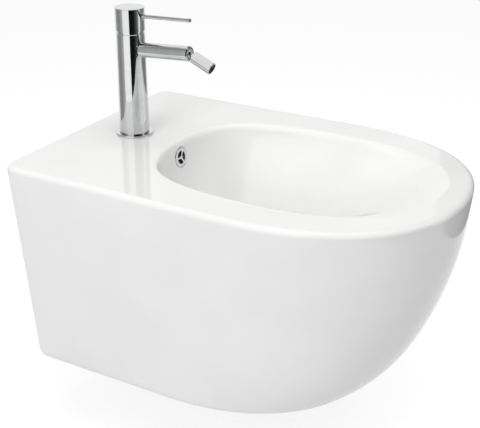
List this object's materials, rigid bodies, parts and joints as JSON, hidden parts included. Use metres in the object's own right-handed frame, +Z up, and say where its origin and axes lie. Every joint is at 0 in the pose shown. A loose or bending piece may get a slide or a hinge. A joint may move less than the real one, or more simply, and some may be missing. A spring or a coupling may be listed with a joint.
{
  "type": "wall hung bidet",
  "caption": "Wall hung bidet with an oval bowl in a flat deck, a lever mixer with a swivelling nozzle, an overflow and a push plug waste.",
  "frame": {"origin": "on the wall plane, midway between the two wall fixing holes", "axes": "+Z up; -Y out from the wall towards the user; +X to the right as seen from the front"},
  "size_m": [0.3744, 0.5495, 0.477],
  "materials": {
    "glazed_ceramic": "gloss",
    "chrome": "polished",
    "brass": "satin",
    "steel": "satin",
    "black_rubber": "matte",
    "white_plastic": "satin",
    "grey_plastic": "matte",
    "disc_ceramic": "satin"
  },
  "bodies": {
    "bidet": {"ceramic_body": "glazed_ceramic", "overflow_ring": "chrome", "overflow_sleeve": "grey_plastic", "fixing_sleeve_left": "white_plastic", "fixing_sleeve_right": "white_plastic", "fixing_washer_left": "steel", "fixing_washer_right": "steel", "base_gasket": "black_rubber", "base_flange": "chrome", "tap_body": "chrome", "cartridge_base": "grey_plastic", "port_seals": "black_rubber", "fixed_disc": "disc_ceramic", "cartridge_housing": "grey_plastic", "retaining_nut": "brass", "neck_ring": "chrome", "spout_arm": "chrome", "swivel_collar": "chrome", "fixing_stud": "brass", "horseshoe_rubber": "black_rubber", "horseshoe_plate": "steel", "stud_nut": "brass", "waste_body": "chrome", "waste_washer": "black_rubber", "lower_seal": "black_rubber", "slip_washer": "white_plastic", "waste_nut": "brass", "click_housing": "white_plastic"},
    "carrier": {"spindle_carrier": "white_plastic", "pivot_pin": "steel"},
    "handle": {"handle_cap": "chrome", "lever_pin": "chrome", "grub_screw": "steel", "access_plug": "chrome", "spindle": "brass"},
    "disc": {"moving_disc": "disc_ceramic"},
    "seat": {"ball_seat": "white_plastic"},
    "nozzle": {"nozzle": "chrome", "aerator": "grey_plastic", "aerator_washer": "black_rubber"},
    "plug": {"plug_cap": "chrome", "plug_stem": "brass", "plug_seal": "black_rubber"}
  },
  "joints": [
    {"name": "handle_turn", "type": "hinge", "parent": "bidet", "child": "carrier", "pos_m": [0, -0.078, 0.23195], "axis": [0, 0, 1], "range_deg": [-45, 45]},
    {"name": "handle_lift", "type": "hinge", "parent": "carrier", "child": "handle", "pos_m": [0, -0.078, 0.23195], "axis": [-1, 0, 0], "range_deg": [0, 20]},
    {"name": "disc_slide", "type": "slide", "parent": "carrier", "child": "disc", "axis": [0, -1, 0], "range_m": [-0.0001, 0.0024]},
    {"name": "nozzle_turn", "type": "hinge", "parent": "bidet", "child": "seat", "pos_m": [0, -0.16853, 0.21914], "axis": [0, -0.9981, 0.061], "range_deg": [-90, 90]},
    {"name": "nozzle_tilt", "type": "hinge", "parent": "seat", "child": "nozzle", "pos_m": [0, -0.16853, 0.21914], "axis": [-1, 0, 0], "range_deg": [-1.5, 56.5]},
    {"name": "plug_slide", "type": "slide", "parent": "bidet", "child": "plug", "axis": [0, 0, 1], "range_m": [0, 0.008]}
  ],
  "couplings": [
    {"joint": "disc_slide", "follows": "handle_lift", "m_per_rad": 0.0065}
  ]
}
